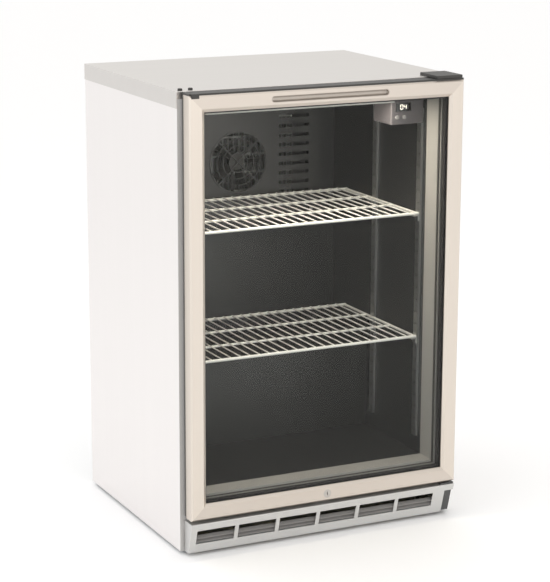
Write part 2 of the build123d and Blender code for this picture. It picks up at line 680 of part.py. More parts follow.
# ---------------------------------------------------------------- machine bay
def make_compressor():
    z0 = PAN_TOP_Z
    top, low = z0 + COMP_H, z0 + COMP_LOW
    body = rod_z(COMP_X, COMP_Y, low, top, COMP_R)
    body = fillet(body.edges().filter_by_position(Axis.Z, top - 1, top + 1), COMP_ROUNDS[0])
    body = fillet(body.edges().filter_by_position(Axis.Z, low - 1, low + 1), COMP_ROUNDS[1])
    seam_z = z0 + COMP_SEAM[0]
    body += rod_z(COMP_X, COMP_Y, seam_z, seam_z + COMP_SEAM[1], COMP_R + COMP_SEAM[2])
    plate_z = z0 + COMP_MOUNT_H + COMP_PLATE[2] / 2
    body += Pos(COMP_X, COMP_Y, plate_z) * Box(*COMP_PLATE)
    socket_z = z0 + COMP_MOUNT_H + 1
    return body + rod_z(COMP_X, COMP_Y, socket_z, socket_z + COMP_SOCKET[1], COMP_SOCKET[0])


def make_compressor_feet():
    reach_x, reach_y = COMP_MOUNT
    places = [(COMP_X + side * reach_x, COMP_Y + end * reach_y) for side in (-1, 1) for end in (-1, 1)]
    return group(rod_z(x, y, PAN_TOP_Z, PAN_TOP_Z + COMP_MOUNT_H, COMP_MOUNT_R) for x, y in places)


def make_condenser_coil():
    return fin_coil(COND_X0, COND_X1, COND_Y, SHROUD_Y, COND_LOW, COND_HIGH, 20, 6)


def make_condenser_shroud():
    y0 = SHROUD_Y
    clear, wall, deep = SHROUD_RING
    radius = COND_FAN_R + clear
    plate = block(COND_X0, COND_X1, y0, y0 + SHROUD_T, PAN_TOP_Z, COND_HIGH)
    ring = rod_y(COND_X, y0, y0 + deep, COND_Z, radius + wall)
    return plate + ring - rod_y(COND_X, y0 - 1, y0 + deep + 1, COND_Z, radius)


def make_condenser_fan_motor():
    y0 = SHROUD_Y
    radius, back, length = COND_MOTOR
    past, foot_w, high, thick = COND_ARM
    motor = rod_y(COND_X, y0 + back, y0 + back + length, COND_Z, radius)
    motor += rod_y(COND_X, y0 + back - SHAFT[1] - 1, y0 + back, COND_Z, SHAFT[0])
    arm_y = y0 + back + 10
    for side in (-1, 1):
        arm_x = COND_X + side * (COND_FAN_R + past)
        x0, x1 = sorted((COND_X, arm_x))
        motor += block(x0, x1, arm_y, arm_y + thick, COND_Z - high / 2, COND_Z + high / 2)
        foot = (arm_x - foot_w / 2, arm_x + foot_w / 2, y0 + SHROUD_T, arm_y + thick)
        motor += block(*foot, COND_Z - high / 2, COND_Z + high / 2)
    return motor


def pipe(points):
    """A bent copper tube along straight runs with round bends."""
    path = FilletPolyline(*points, radius=PIPE_BEND)
    start = Plane(origin=path @ 0, z_dir=path % 0)
    return sweep(start * Circle(PIPE_R), path)


def make_refrigerant_pipes():
    tube_y = COND_Y + COND_D / 2
    left, right = COMP_X - COMP_R, COMP_X + COMP_R
    coil_end = COND_X1 + 4
    out_x, drier_x, drier_y = left - PIPE_OUT, COND_X1 + PIPE_OUT, COMP_Y + 20
    liquid_z = COND_Z - 3 * DRIER_DROP
    discharge = pipe([(left - 1, COMP_Y, PIPE_Z), (out_x, COMP_Y, PIPE_Z), (out_x, tube_y, PIPE_Z),
                      (out_x, tube_y, PIPE_HIGH_Z), (coil_end, tube_y, PIPE_HIGH_Z)])
    suction_x = right + PIPE_OUT - 5
    suction = pipe([(right + 1, COMP_Y, PIPE_Z), (suction_x, COMP_Y, PIPE_Z),
                    (suction_x, COMP_Y, PIPE_TOP_Z), (0, COMP_Y, PIPE_TOP_Z)])
    liquid = pipe([(coil_end, tube_y, liquid_z), (drier_x, tube_y, liquid_z),
                   (drier_x, drier_y, liquid_z), (drier_x, drier_y, COND_Z - DRIER_DROP)])
    return group([discharge, suction, liquid, make_filter_drier(drier_x, drier_y)])


def make_filter_drier(x, y):
    low = COND_Z - DRIER_DROP
    body = rod_z(x, y, low, low + DRIER[1], DRIER[0])
    return fillet(body.edges().filter_by(GeomType.CIRCLE), DRIER[2])


def make_condensate_tray():
    z0 = PAN_TOP_Z + COMP_H
    width, depth, high = TRAY
    tray = Pos(COMP_X, COMP_Y, z0 + high / 2) * Box(width, depth, high)
    inside = Box(width - 2 * TRAY_WALL, depth - 2 * TRAY_WALL, high)
    return tray - Pos(COMP_X, COMP_Y, z0 + TRAY_WALL + high / 2) * inside


# ---------------------------------------------------------------- plinth
def slope_y(z):
    """The plinth's face at a height."""
    return PLINTH_Y + PLINTH_LEAN * (PLINTH_TOP_Z - z) / (PLINTH_TOP_Z - PLINTH_BOTTOM_Z)


def make_plinth_grille():
    t, top, low, back = PLINTH_T, PLINTH_TOP_Z, PLINTH_BOTTOM_Z, CAB_Y - LEG_GAP
    foot = PLINTH_FOOT_Y
    sheet = [(PLINTH_Y, top), (foot, low), (foot + PLINTH_LIP, low), (foot + PLINTH_LIP, low + t),
             (foot + t, low + t), (PLINTH_Y + t, top - t), (back, top - t), (back, top)]
    body = profile_x(sheet, -PLINTH_X, PLINTH_X)
    body += profile_x([(PLINTH_Y, top), (foot, low), (back, low), (back, top)], -PLINTH_X, -PLINTH_X + t)
    first = -PLINTH_X + VENT_MARGIN
    for n in range(VENTS):
        x = first + n * VENT_PITCH
        body -= block(x, x + VENT_W, PLINTH_Y - 1, foot + 4, VENT_LOW_Z, VENT_HIGH_Z)
    body -= block(PLINTH_X - END_NOTCH, HALF, PLINTH_Y - 1, CAB_Y, 0, END_NOTCH_TOP)
    rim = body.edges().filter_by(Axis.X).filter_by_position(Axis.Z, top - 0.1, top + 0.1)
    return fillet(rim.sort_by(Axis.Y)[0], 1.5)


def make_plinth_louvres():
    """Slats behind the vents, on a comb at each end."""
    x0, x1 = -PLINTH_X + PLINTH_T + SLAT_GAP, PLINTH_X - END_NOTCH - SLAT_GAP
    slats = []
    for n in range(SLATS):
        z = VENT_LOW_Z + SLAT_LOW + n * SLAT_PITCH
        y = slope_y(z) + PLINTH_T + SLAT_GAP + SLAT_W / 2
        slats.append(Pos((x0 + x1) / 2, y, z) * Rot(SLAT_TILT, 0, 0) * Box(x1 - x0, SLAT_W, SLAT_T))
    y = slope_y(VENT_LOW_Z) + PLINTH_T + SLAT_GAP + 1
    width, deep, drop = COMB
    combs = [block(x, x + width, y, y + deep, VENT_LOW_Z - drop, VENT_HIGH_Z) for x in (x0, x1 - width)]
    return slats[0] + slats[1:] + combs


# ---------------------------------------------------------------- hinges
def top_bracket_box():
    """Left, right and back of the top bracket."""
    x1 = HALF - BRACKET_SIDE
    return x1 - BRACKET_W, x1, CAB_Y + BRACKET_BACK


def make_hinge_bracket_top():
    x0, x1, y1 = top_bracket_box()
    plate = block(x0, x1, FRONT_Y + 3.5, y1, HEIGHT, HEIGHT + TOP_BRACKET_T)
    plate = fillet(plate.edges().filter_by(Axis.Z), BRACKET_ROUND)
    return plate + rod_z(PIN_X, PIN_Y, DOOR_TOP_Z - BUSH_DEPTH + 1, HEIGHT, PIN_R)


def make_hinge_cover_top():
    w, top = COVER_WALL, HEIGHT + COVER_H
    grow = w + COVER_CLEAR
    x0, x1, y1 = top_bracket_box()
    x0, x1, y0, y1 = x0 - grow, x1 + grow, FRONT_Y + 0.5, y1 + grow
    shell = block(x0, x1, y0, y1, HEIGHT, top)
    shell = fillet(shell.edges().filter_by(Axis.Z), COVER_ROUND)
    shell = fillet(shell.edges().filter_by_position(Axis.Z, top - 0.1, top + 0.1), w * 0.8)
    return shell - block(x0 + w, x1 - w, y0 + w, y1 - w, HEIGHT - 1, top - w)


def make_hinge_bracket_bottom():
    """Plate under the door with its pin, a leg up the front frame and a channel down to the base."""
    x0, x1, top = PLINTH_X - END_NOTCH - 9, PLINTH_X, PLINTH_TOP_Z
    body = block(x0, x1, FRONT_Y + 4, CAB_Y, top, top + BRACKET_T)
    body += block(x0, x1, CAB_Y - BRACKET_T, CAB_Y, PLINTH_BOTTOM_Z, LEG_TOP_Z)
    inner_x = PLINTH_X - END_NOTCH + 1
    low, high, t = PLINTH_BOTTOM_Z + 1, top - PLINTH_T - 0.5, CHANNEL_T
    upper, lower = slope_y(high) + CHANNEL_SET, slope_y(low) + CHANNEL_SET
    body += profile_x([(upper, high), (lower, low), (lower + t, low), (upper + t, high)], inner_x, x1 - 1)
    cheek = [(upper, high), (lower, low), (CAB_Y - 1, low), (CAB_Y - 1, high)]
    for start in (inner_x, x1 - 1 - t):
        body += profile_x(cheek, start, start + t)
    return body + rod_z(PIN_X, PIN_Y, top + BRACKET_T, DOOR_BOTTOM_Z + BUSH_DEPTH - 1, PIN_R)


def bush_cut(top):
    """The round hole that a hinge bush fills in the door's frame."""
    if top:
        return rod_z(PIN_X, PIN_Y, DOOR_TOP_Z - BUSH_DEPTH, DOOR_TOP_Z + CAP_T + 1, BUSH_R)
    return rod_z(PIN_X, PIN_Y, DOOR_BOTTOM_Z - 1, DOOR_BOTTOM_Z + BUSH_DEPTH, BUSH_R)


def make_hinge_bushes():
    bore = rod_z(PIN_X, PIN_Y, 0, HEIGHT + 20, PIN_R + PIN_CLEAR)
    top_face, low_face = DOOR_TOP_Z + CAP_T, DOOR_BOTTOM_Z
    upper = rod_z(PIN_X, PIN_Y, DOOR_TOP_Z - BUSH_DEPTH, top_face, BUSH_R)
    upper += rod_z(PIN_X, PIN_Y, top_face, HEIGHT - SEAT_GAP, COLLAR_R)
    lower = rod_z(PIN_X, PIN_Y, low_face, low_face + BUSH_DEPTH, BUSH_R)
    lower += rod_z(PIN_X, PIN_Y, PLINTH_TOP_Z + BRACKET_T + SEAT_GAP, low_face, COLLAR_R)
    return group([upper - bore, lower - bore])


def make_hinge_plugs():
    """Caps over the hinge holes on the side that is not in use."""
    plugs = []
    for side, front in PLUG_PLACES:
        cap = rod_z(-HALF + side, CAB_Y + front, HEIGHT, HEIGHT + PLUG_H, PLUG_R)
        rim = cap.edges().filter_by_position(Axis.Z, HEIGHT + PLUG_H - 0.1, HEIGHT + PLUG_H + 0.1)
        plugs.append(fillet(rim, 1.5))
    return group(plugs)


# ---------------------------------------------------------------- door
def grip_cut(grow=0.0):
    """The space of the finger groove's cup behind the top rail's face."""
    wall, y0 = GRIP_WALL + grow, FRONT_Y + RAIL_T
    return stadium(GRIP_L + 2 * wall, GRIP_H + 2 * wall, y0, y0 + GRIP_DEPTH + wall, GRIP_Z)


def lock_cut(radius):
    return rod_y(0, FRONT_Y - 1, CAB_Y, LOCK_Z, radius)


def cap_lug(y0):
    """The cap's tab over the face of the door's free top corner, from a depth forward."""
    x = -DOOR_X + LUG_IN
    return block(x, x + LUG_W, y0, FRONT_Y + RAIL_T, DOOR_TOP_Z - LUG_H, DOOR_TOP_Z)


def make_door_rail_top():
    rail = frame_side(RAIL_SECTION, "top") - cap_lug(FRONT_Y - 1)
    rail -= stadium(GRIP_L, GRIP_H, FRONT_Y - 1, FRONT_Y + RAIL_T + 0.1, GRIP_Z)
    return rail - bush_cut(True)


def make_door_rail_bottom():
    return frame_side(RAIL_SECTION, "bottom") - lock_cut(LOCK_R) - bush_cut(False)


def make_door_stile(side):
    stile = frame_side(RAIL_SECTION, side) - cap_lug(FRONT_Y - 1)
    return stile - bush_cut(True) - bush_cut(False)


def make_door_inner_frame():
    """The plastic frame that holds the sealed glass unit and the gasket."""
    inset = GLASS_INSET - 0.5
    section = [(RAIL_T, RAIL_BEVEL + 2), (RAIL_BEVEL + 2, RAIL_T), (RAIL_W - 8, RAIL_T), (inset, 4.0),
               (inset, GLASS_BACK), (INNER_FRAME_W, GLASS_BACK), (INNER_FRAME_W, DOOR_T), (RAIL_T, DOOR_T)]
    ring = frame_ring(section)
    return ring - grip_cut() - lock_cut(LOCK_R) - bush_cut(True) - bush_cut(False)


def make_pane(front):
    x = DOOR_X - GLASS_INSET
    low, high = DOOR_BOTTOM_Z + GLASS_INSET, DOOR_TOP_Z - GLASS_INSET
    return block(-x, x, FRONT_Y + front, FRONT_Y + front + GLASS_T, low, high)


def make_glass_panes():
    return group([make_pane(GLASS_FRONT), make_pane(GLASS_FRONT + GLASS_T + PANE_GAP)])


def make_glass_spacer():
    front = GLASS_FRONT + GLASS_T
    inset = GLASS_INSET + 1
    return frame_ring([(inset, front), (inset + SPACER_W, front), (inset + SPACER_W, front + PANE_GAP),
                       (inset, front + PANE_GAP)])


def make_door_gasket():
    """Magnetic seal: a folding waist and the magnet bead, and an outer fin that hides the gap."""
    u0, u1, waist = GASKET_INSET, GASKET_INSET + GASKET_W, GASKET_WAIST
    v0, v1 = DOOR_T, DOOR_T + GASKET_GAP - GASKET_CLEAR
    foot, fin_v = v0 + GASKET_FOOT, v0 + FIN_REACH
    bead = v0 + 7
    seal = [(FIN_INSET, v0), (u1, v0), (u1, foot), (u1 - waist, foot + 0.6), (u1 - waist, bead - 0.6),
            (u1, bead), (u1, v1), (u0, v1), (u0, bead), (u0 + waist, bead - 0.6),
            (u0 + waist, foot + 0.6), (u0, foot), (FIN_INSET + FIN_T, foot),
            (FIN_INSET + FIN_T, fin_v), (FIN_INSET, fin_v)]
    room = CAM_L + CAM_SIDE
    low = DOOR_BOTTOM_Z
    return frame_ring(seal) - block(-room, room, DOOR_BACK_Y - 1, CAB_Y, low, low + GASKET_INSET)


def make_door_top_cap():
    """Plastic cap along the top rail, run back to the worktop's edge."""
    x, y0, y1 = DOOR_X, FRONT_Y + RAIL_BEVEL, DOOR_BACK_Y
    z0, z1 = DOOR_TOP_Z, DOOR_TOP_Z + CAP_T
    cap = block(-x, x, y0, y1, z0, z1)
    cap += block(-x + 1, x - CAP_END_GAP, y1, y1 + CAP_REACH, z0, z1)
    cap += block(-x + LUG_IN, -x + LUG_IN + LUG_W, FRONT_Y, y0, z0, z1) + cap_lug(FRONT_Y)
    return cap - bush_cut(True)


def make_handle_cup():
    back = FRONT_Y + RAIL_T
    cup = grip_cut(-0.1) + stadium(GRIP_L - 0.2, GRIP_H - 0.2, FRONT_Y + 0.2, back, GRIP_Z)
    floor_y = FRONT_Y + GRIP_DEPTH
    hollow = stadium(GRIP_L - 2 * GRIP_WALL, GRIP_H - 2 * GRIP_WALL, FRONT_Y - 2, floor_y, GRIP_Z)
    floor = hollow.edges().filter_by_position(Axis.Y, floor_y - 0.1, floor_y + 0.1)
    return cup - fillet(floor, GRIP_ROUND)


def make_lock_housing():
    tube = rod_y(0, FRONT_Y, DOOR_BACK_Y, LOCK_Z, LOCK_R)
    return tube - lock_cut(LOCK_PLUG_R + LOCK_CLEAR)


def make_lock_plug():
    plug = rod_y(0, FRONT_Y + 0.4, DOOR_BACK_Y + CAM_GAP, LOCK_Z, LOCK_PLUG_R)
    wide, high, deep = LOCK_SLOT
    return plug - Pos(0, FRONT_Y + deep / 2, LOCK_Z) * Box(wide, deep, high)


def make_lock_cam():
    y0 = DOOR_BACK_Y + CAM_GAP
    arm = block(0, CAM_L, y0, y0 + CAM_T, LOCK_Z - CAM_W / 2, LOCK_Z + CAM_W / 2)
    hub = rod_y(0, y0, y0 + CAM_T, LOCK_Z, CAM_HUB_R)
    return arm + hub + rod_y(0, y0 + CAM_T, y0 + CAM_T + SCREW_H, LOCK_Z, SCREW_R)


def make_lock_keeper():
    x = KEEPER_W / 2
    low = PLINTH_TOP_Z + 1
    lip_y = DOOR_BACK_Y + CAM_GAP - KEEPER_LIP
    body = block(-x, x, lip_y, CAB_Y, low, low + KEEPER_T)
    body += block(-x, x, lip_y, lip_y + KEEPER_T, low, DOOR_BOTTOM_Z - 2)
    return body + block(-x, x, CAB_Y - KEEPER_T, CAB_Y, low, LEG_TOP_Z - 4)


# ---------------------------------------------------------------- fasteners
def screw(x, y, z, axis, radius=SCREW_R, height=SCREW_H):
    """A pan head screw with a cross recess, its head towards the axis direction."""
    head = Cylinder(radius, height, align=(Align.CENTER, Align.CENTER, Align.MIN))
    head = fillet(head.edges().filter_by_position(Axis.Z, height - 0.1, height + 0.1), height * 0.4)
    slot = Pos(0, 0, height) * Box(radius, radius * 0.25, height * 0.8)
    head -= slot
    head -= Rot(0, 0, 90) * slot
    turn = {"+Z": Rot(0, 0, 0), "+Y": Rot(-90, 0, 0), "-Y": Rot(90, 0, 0), "-X": Rot(0, -90, 0)}[axis]
    return Pos(x, y, z) * turn * head


def make_cabinet_screws():
    edge = PANEL_IN_X - 12
    heads = [screw(x, SERVICE_Y, z, "+Y") for x in (-edge, 0, edge)
             for z in (BAY_TOP_Z - 12, PAN_TOP_Z + 10)]
    heads += [screw(side * (edge + 2), PANEL_BACK_Y, z, "+Y", *FLAT_SCREW) for side in (-1, 1)
              for z in (BAY_TOP_Z + 30, (BAY_TOP_Z + HEIGHT) / 2, HEIGHT - LIP - 20)]
    heads += [screw(x, CAB_Y + 14, HEIGHT + TOP_BRACKET_T, "+Z", *COVERED_SCREW)
              for x in (HALF - 54, HALF - 26)]
    leg_z = (PLINTH_TOP_Z + BRACKET_T + LEG_TOP_Z) / 2
    heads += [screw(PLINTH_X - dx, CAB_Y - BRACKET_T, leg_z, "-Y", *LEG_SCREW) for dx in (22, 7)]
    heads += [screw(side * EVAP_W * 0.45, EVAP_Y, z, "-Y") for side in (-1, 1)
              for z in (EVAP_LOW + 18, EVAP_HIGH - 18)]
    return group(heads)


NODES = {
    "worktop": make_worktop,
    "side_panel_left": lambda: make_side_panel(-1),
    "side_panel_right": lambda: make_side_panel(1),
    "back_panel": make_back_panel,
    "rear_service_panel": make_rear_service_panel,
    "mains_gland": make_mains_gland,
    "base_pan": make_base_pan,
    "front_frame": make_front_frame,
    "throat_frame": make_throat_frame,
    "liner_walls": make_liner_walls,
    "liner_floor": make_liner_floor,
    "insulation": make_insulation,
    "shelf_pilasters": make_shelf_pilasters,
    "shelf_clips": make_shelf_clips,
    "lamp_housing": make_lamp_housing,
    "lamp_diffuser": make_lamp_diffuser,
    "controller_housing": make_controller_housing,
    "controller_display": make_controller_display,
    "evaporator_cover": make_evaporator_cover,
    "evaporator_fan_motor": make_evaporator_fan_motor,
    "evaporator_fan_wheel": lambda: rotor(EVAP_Y + EVAP_FAN_SET, FAN_HUB_L, FAN_R, FAN_Z),
    "evaporator_coil": make_evaporator_coil,
    "compressor": make_compressor,
    "compressor_feet": make_compressor_feet,
    "condenser_coil": make_condenser_coil,
    "condenser_shroud": make_condenser_shroud,
    "condenser_fan_motor": make_condenser_fan_motor,
    "condenser_fan_wheel": lambda: rotor(SHROUD_Y + COND_FAN_SET, FAN_HUB_L, COND_FAN_R, COND_Z, COND_X),
    "refrigerant_pipes": make_refrigerant_pipes,
    "condensate_tray": make_condensate_tray,
    "plinth_grille": make_plinth_grille,
    "plinth_louvres": make_plinth_louvres,
    "hinge_bracket_top": make_hinge_bracket_top,
    "hinge_cover_top": make_hinge_cover_top,
    "hinge_bracket_bottom": make_hinge_bracket_bottom,
    "hinge_plugs": make_hinge_plugs,
    "hinge_bushes": make_hinge_bushes,
    "cabinet_screws": make_cabinet_screws,
    "door_rail_top": make_door_rail_top,
    "door_rail_bottom": make_door_rail_bottom,
    "door_stile_left": lambda: make_door_stile("left"),
    "door_stile_right": lambda: make_door_stile("right"),
    "door_inner_frame": make_door_inner_frame,
    "glass_panes": make_glass_panes,
    "glass_spacer": make_glass_spacer,
    "door_gasket": make_door_gasket,
    "door_top_cap": make_door_top_cap,
    "handle_cup": make_handle_cup,
    "lock_housing": make_lock_housing,
    "lock_plug": make_lock_plug,
    "lock_cam": make_lock_cam,
    "lock_keeper": make_lock_keeper,
}
for shelf_name, shelf_z in SHELF_Z.items():
    NODES[shelf_name] = lambda level=shelf_z: make_shelf(level)
for foot_name, foot_place in foot_places().items():
    NODES[foot_name] = lambda place=foot_place: make_foot(place)
for button_name, button_place in button_places().items():
    NODES[button_name] = lambda place=button_place: make_button(place)

os.makedirs("parts", exist_ok=True)
for node_name, make in NODES.items():
    export_step(make(), f"parts/{node_name}.step")
print(len(NODES), "nodes")
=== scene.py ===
"""Looks of the under-counter bottle fridge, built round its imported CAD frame.

Metres, in the CAD frame: +X to the right seen from the front, +Y to the back, +Z up.
"""
import json
import math

import bpy
import bmesh
from mathutils import Matrix, Vector


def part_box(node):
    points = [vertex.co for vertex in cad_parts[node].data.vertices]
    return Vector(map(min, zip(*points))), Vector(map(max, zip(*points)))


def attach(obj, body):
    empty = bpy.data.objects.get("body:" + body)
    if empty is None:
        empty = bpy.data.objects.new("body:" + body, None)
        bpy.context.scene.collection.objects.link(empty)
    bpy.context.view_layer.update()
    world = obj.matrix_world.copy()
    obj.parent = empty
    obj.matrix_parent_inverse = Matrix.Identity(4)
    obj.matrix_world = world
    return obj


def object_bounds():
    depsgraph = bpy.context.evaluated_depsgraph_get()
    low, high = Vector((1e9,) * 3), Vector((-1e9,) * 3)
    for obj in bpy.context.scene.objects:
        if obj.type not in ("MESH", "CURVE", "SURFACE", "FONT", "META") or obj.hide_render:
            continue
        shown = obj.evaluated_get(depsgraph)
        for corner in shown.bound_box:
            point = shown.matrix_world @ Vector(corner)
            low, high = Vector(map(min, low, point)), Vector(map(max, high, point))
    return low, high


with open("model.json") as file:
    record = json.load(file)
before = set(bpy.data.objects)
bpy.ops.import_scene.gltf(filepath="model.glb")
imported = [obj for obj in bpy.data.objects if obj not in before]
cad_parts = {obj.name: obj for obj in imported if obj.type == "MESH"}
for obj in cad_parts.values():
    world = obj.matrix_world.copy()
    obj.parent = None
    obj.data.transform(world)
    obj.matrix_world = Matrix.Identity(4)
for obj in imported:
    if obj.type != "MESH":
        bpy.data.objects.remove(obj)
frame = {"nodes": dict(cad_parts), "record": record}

cad_low, cad_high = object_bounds()
nodes = frame["nodes"]
MM = 0.001
MIX_SHARE, MIX_FIRST, MIX_SECOND, MIX_RESULT = 0, 6, 7, 2  # a colour Mix node's sockets, by number
WARM_LAMP = (1.0, 0.90, 0.74)
COPPER = (0.72, 0.36, 0.22)
COPPER_STAIN = (0.3, 0.14, 0.1)
GLASS_TINT = (0.968, 0.972, 0.966)


# ---------------------------------------------------------------- materials
class Look:
    """A material with one Principled shader, and short calls that build the textures that drive it."""

    def __init__(self, name, colour, roughness, metallic=0.0, **fixed):
        self.material = bpy.data.materials.new(name)
        self.material.use_nodes = True
        self.tree = self.material.node_tree
        self.shader = self.tree.nodes["Principled BSDF"]
        self.colour = (*colour, 1.0)
        self.set(self.shader, "Base Color", self.colour)
        self.set(self.shader, "Roughness", roughness)
        self.set(self.shader, "Metallic", metallic)
        for socket, value in fixed.items():
            self.set(self.shader, socket.replace("_", " "), value)

    def set(self, node, socket, value):
        """A socket takes a plain value or another node's output."""
        if isinstance(value, bpy.types.NodeSocket):
            self.tree.links.new(value, node.inputs[socket])
        else:
            node.inputs[socket].default_value = value

    def add(self, kind, settings=(), **sockets):
        node = self.tree.nodes.new(kind)
        for key, value in dict(settings).items():
            setattr(node, key, value)
        for socket, value in sockets.items():
            self.set(node, socket.replace("_", " "), value)
        return node

    def place(self, scale=(1, 1, 1)):
        """Where a point is on the object, in metres, stretched by scale."""
        where = self.add("ShaderNodeTexCoord").outputs["Object"]
        return self.add("ShaderNodeMapping", Vector=where, Scale=scale).outputs["Vector"]

    def noise(self, scale, stretch=(1, 1, 1), detail=3.0):
        """Cloudy noise, finer with a larger scale."""
        where = self.place(stretch)
        node = self.add("ShaderNodeTexNoise", Vector=where, Scale=scale, Detail=detail, Roughness=0.55)
        return node.outputs["Fac"]

    def cells(self, scale, output="Distance"):
        """Voronoi cells: the distance to each one's middle, or a colour of its own."""
        node = self.add("ShaderNodeTexVoronoi", Vector=self.place(), Scale=scale)
        return node.outputs[output]

    def span(self, value, low, high, from_low=0.0, from_high=1.0):
        """A texture value moved from one range to another."""
        node = self.add("ShaderNodeMapRange", Value=value)
        ends = {"From Min": from_low, "From Max": from_high, "To Min": low, "To Max": high}
        for socket, number in ends.items():
            node.inputs[socket].default_value = number
        return node.outputs["Result"]

    def blend(self, share, first, second):
        """A colour between two others, by a texture's share of the second."""
        node = self.add("ShaderNodeMix", {"data_type": "RGBA"})
        self.tree.links.new(share, node.inputs[MIX_SHARE])
        node.inputs[MIX_FIRST].default_value = (*first, 1.0)
        node.inputs[MIX_SECOND].default_value = (*second, 1.0)
        return node.outputs[MIX_RESULT]

    def shade(self, value, amount):
        """Base colour made lighter and darker by a texture, by plus or minus amount."""
        low = [c * (1 - amount) for c in self.colour[:3]]
        high = [min(1.0, c * (1 + amount)) for c in self.colour[:3]]
        self.set(self.shader, "Base Color", self.blend(value, low, high))
        return self

    def rough(self, value, low, high):
        """Roughness driven by a texture, from low to high."""
        self.set(self.shader, "Roughness", self.span(value, low, high))
        return self

    def bump(self, value, height, strength=1.0):
        """Raises the surface by a texture, on top of the bumps already there."""
        node = self.add("ShaderNodeBump", Height=value, Distance=height, Strength=strength)
        before = self.shader.inputs["Normal"].links
        if before:
            self.set(node, "Normal", before[0].from_socket)
        self.set(self.shader, "Normal", node.outputs["Normal"])
        return self


def brushed(name, colour, along, roughness=0.32, tone=0.035, **fixed):
    """Satin steel sheet with its grain along one axis: X, Y or Z."""
    look = Look(name, colour, roughness, 1.0, **fixed)
    fine = [6.0 if axis == along else 900.0 for axis in "XYZ"]
    broad = [1.2 if axis == along else 38.0 for axis in "XYZ"]
    grain = look.noise(1.0, fine, 2.0)
    cloud = look.noise(1.0, broad, 3.0)
    mixed = look.add("ShaderNodeMath", {"operation": "ADD"})
    look.tree.links.new(look.span(cloud, 0.0, 0.6), mixed.inputs[0])
    look.tree.links.new(look.span(grain, 0.0, 0.4), mixed.inputs[1])
    look.shade(mixed.outputs[0], tone)
    look.rough(grain, roughness - 0.07, roughness + 0.07)
    return look.bump(grain, 0.02 * MM, 0.25)


def painted(name, colour, roughness=0.42, peel=0.3, scale=700.0, **fixed):
    """Powder coat: a fine orange peel and a faint unevenness of tone."""
    look = Look(name, colour, roughness, **fixed)
    look.shade(look.noise(9.0, detail=4.0), 0.03)
    look.rough(look.noise(60.0), roughness - 0.05, roughness + 0.06)
    return look.bump(look.noise(scale, detail=2.0), 0.05 * MM, peel)


def moulded(name, colour, roughness=0.5, grain=0.35, scale=1400.0, **fixed):
    """Injection-moulded plastic with a fine spark grain."""
    look = Look(name, colour, roughness, **fixed)
    look.shade(look.noise(25.0), 0.06)
    look.rough(look.noise(140.0, detail=4.0), roughness - 0.06, roughness + 0.08)
    return look.bump(look.cells(scale), 0.04 * MM, grain)


def galvanised(name, colour):
    """Hot-dip galvanised sheet with its spangle."""
    look = Look(name, colour, 0.45, 0.85)
    flake = look.cells(75.0, output="Color")
    grey = look.add("ShaderNodeRGBToBW", Color=flake).outputs["Val"]
    look.shade(grey, 0.09)
    look.rough(grey, 0.36, 0.55)
    return look.bump(look.noise(400.0), 0.02 * MM, 0.3)


def stucco(name, colour, roughness=0.35, metallic=0.9):
    """Embossed aluminium: small raised lozenges all over the sheet."""
    look = Look(name, colour, roughness, metallic)
    dimple = look.noise(230.0, detail=0.5)
    look.shade(look.noise(14.0), 0.08)
    look.rough(dimple, roughness - 0.05, roughness + 0.12)
    return look.bump(dimple, 0.5 * MM, 0.5)


def glass(name, mirror_share=0.14):
    """Clear pane: what is behind shows through, and each face mirrors a little of the room."""
    look = Look(name, GLASS_TINT, 0.0)
    tree = look.tree
    tree.nodes.remove(look.shader)
    clear = look.add("ShaderNodeBsdfTransparent", Color=(*GLASS_TINT, 1.0))
    mirror = look.add("ShaderNodeBsdfGlossy", Color=(1.0, 0.98, 0.95, 1.0), Roughness=0.02)
    edge = look.add("ShaderNodeFresnel", IOR=1.47)
    share = look.add("ShaderNodeMath", {"operation": "MULTIPLY"})
    share.inputs[1].default_value = mirror_share
    mix = look.add("ShaderNodeMixShader")
    tree.links.new(edge.outputs[0], share.inputs[0])
    tree.links.new(share.outputs[0], mix.inputs[0])
    tree.links.new(clear.outputs[0], mix.inputs[1])
    tree.links.new(mirror.outputs[0], mix.inputs[2])
    tree.links.new(mix.outputs[0], tree.nodes["Material Output"].inputs["Surface"])
    return look


def lit(name, colour, strength):
    """A surface that glows, for the lamp and the digits."""
    look = Look(name, colour, 0.45)
    look.set(look.shader, "Emission Color", (*colour, 1.0))
    look.set(look.shader, "Emission Strength", strength)
    return look.bump(look.noise(500.0), 0.02 * MM, 0.2)


def copper(name):
    """Bright tube with darker stains."""
    look = Look(name, COPPER, 0.3, 1.0)
    stain = look.noise(70.0, detail=5.0)
    stained = look.span(stain, 0, 1, 0.45, 0.75)
    look.set(look.shader, "Base Color", look.blend(stained, COPPER, COPPER_STAIN))
    return look.rough(stain, 0.22, 0.5)


def foam(name, colour):
    """Rough cellular insulation."""
    look = Look(name, colour, 0.9)
    look.shade(look.cells(160.0), 0.15)
    return look.bump(look.cells(300.0), 0.6 * MM, 0.8)


